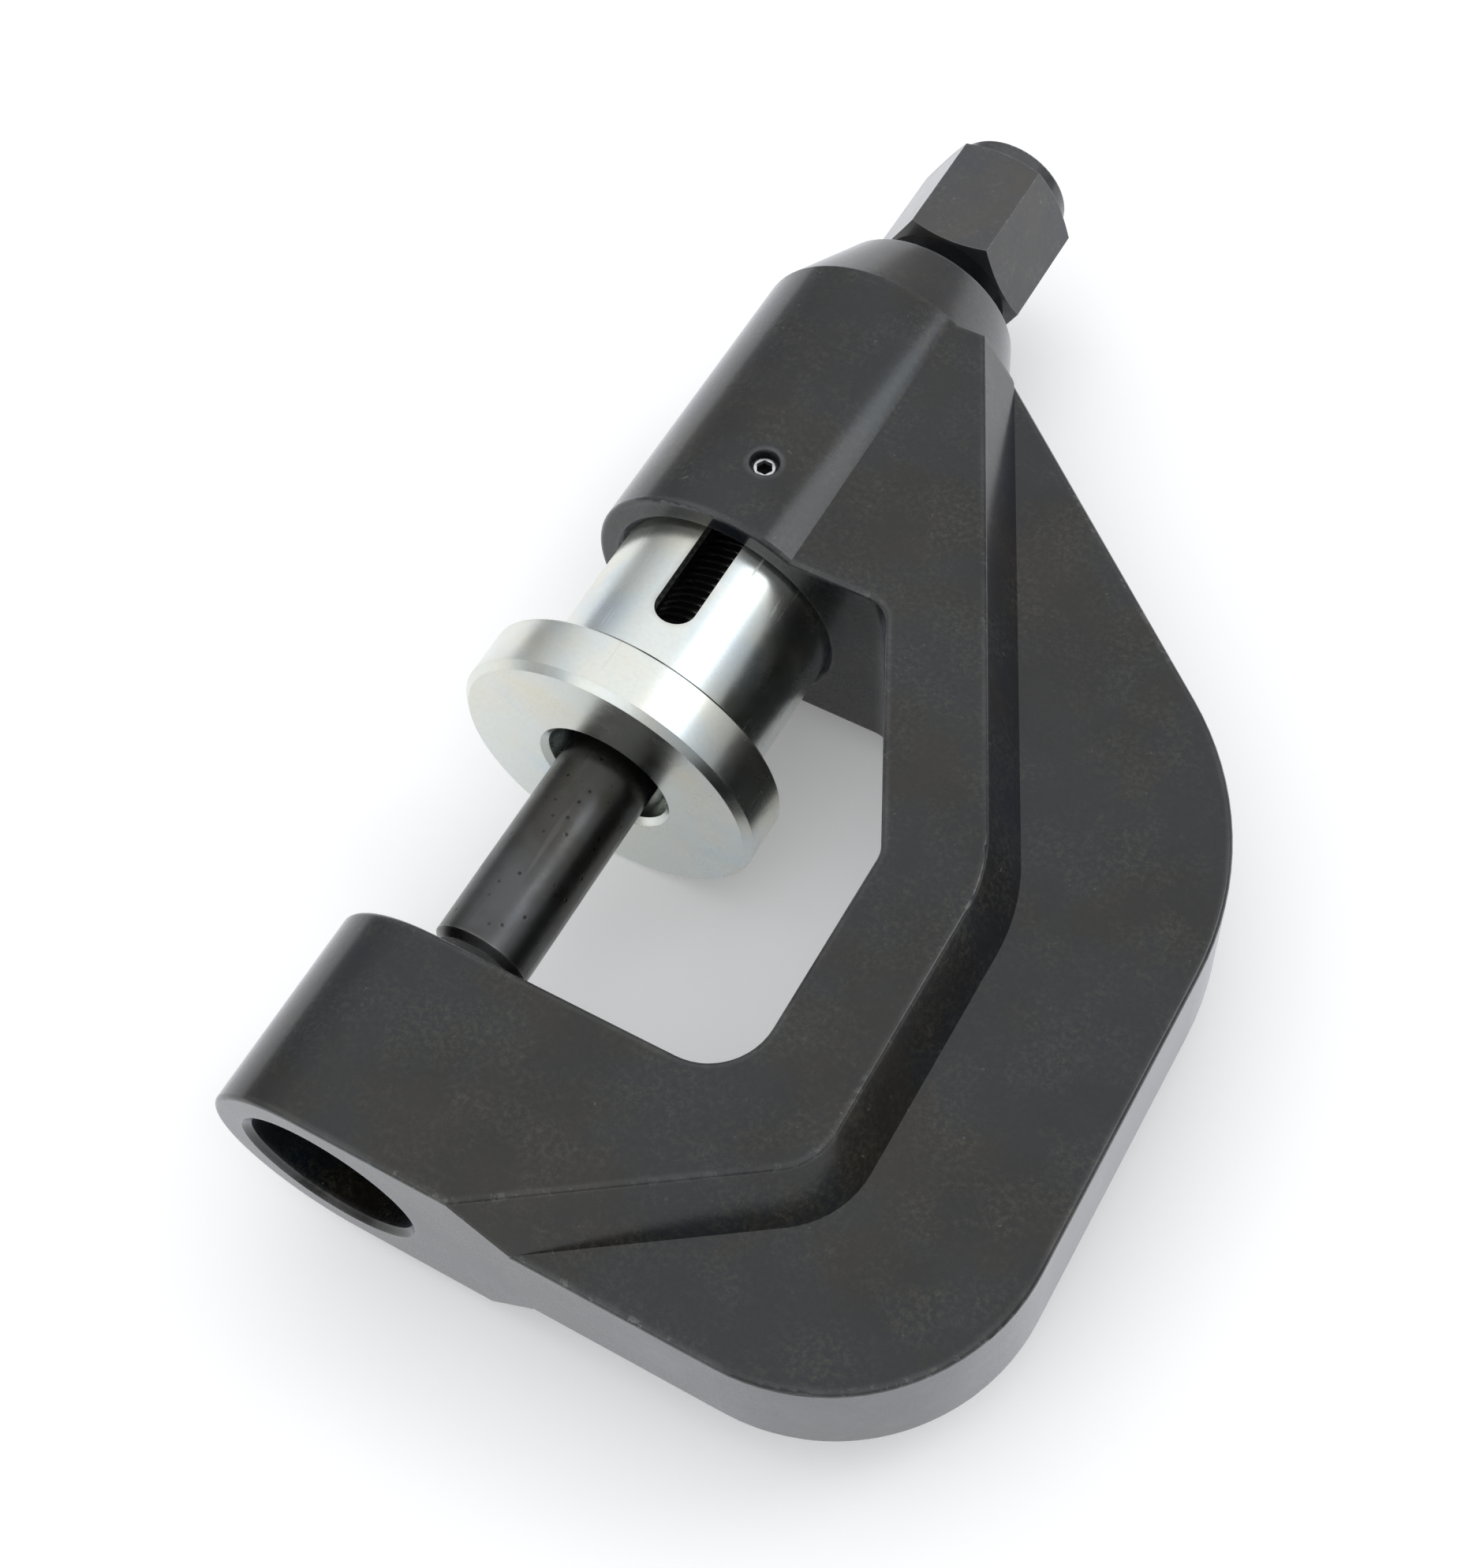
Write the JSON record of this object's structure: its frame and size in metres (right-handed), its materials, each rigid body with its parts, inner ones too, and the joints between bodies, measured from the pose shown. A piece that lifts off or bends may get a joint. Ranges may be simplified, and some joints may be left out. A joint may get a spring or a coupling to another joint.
{
  "type": "screw press",
  "caption": "Hand-held C-frame screw press with a hex-headed spindle, plain thrust pin, keyed flanged sleeve and bored anvil boss.",
  "frame": {"origin": "on the press axis, in the anvil boss's upper face, at the mouth of its through bore", "axes": "+Y along the press axis towards the hex head, +Z square to the broad side that faces up as the tool lies, +X from the press axis to the back of the C"},
  "size_m": [0.1257, 0.2203, 0.0534],
  "materials": {
    "frame_black": "black oxide on forged steel, satin, with worn bright edges",
    "screw_steel": "black oxide with a bright worn end",
    "zinc_plate": "bright zinc plate with light axial scratches",
    "ring_rubber": "matt nitrile rubber",
    "spindle_black": "black oxide on turned steel, greyer and smooth on the hex",
    "spring_steel": "bright hardened steel",
    "pin_black": "oiled black oxide with small pits and a worn nose"
  },
  "bodies": {
    "frame": {"c_frame": "frame_black", "key_screw": "screw_steel"},
    "sleeve": {"sleeve": "zinc_plate", "friction_ring": "ring_rubber"},
    "pin": {"thrust_pin": "pin_black", "thrust_ball": "spring_steel"},
    "spindle": {"spindle": "spindle_black", "wire_ring": "spring_steel"}
  },
  "joints": [
    {"name": "sleeve_slide", "type": "slide", "parent": "frame", "child": "sleeve", "axis": [0, 1, 0], "range_m": [0, 0.0275]},
    {"name": "screw_advance", "type": "slide", "parent": "frame", "child": "pin", "axis": [0, -1, 0], "range_m": [-0.048, 0.006]},
    {"name": "screw_turn", "type": "hinge", "parent": "pin", "child": "spindle", "pos_m": [0, 0.1, 0], "axis": [0, -1, 0], "range_deg": [-11520, 1440]}
  ],
  "couplings": [
    {"joint": "screw_turn", "follows": "screw_advance", "rad_per_m": 4188.8}
  ]
}
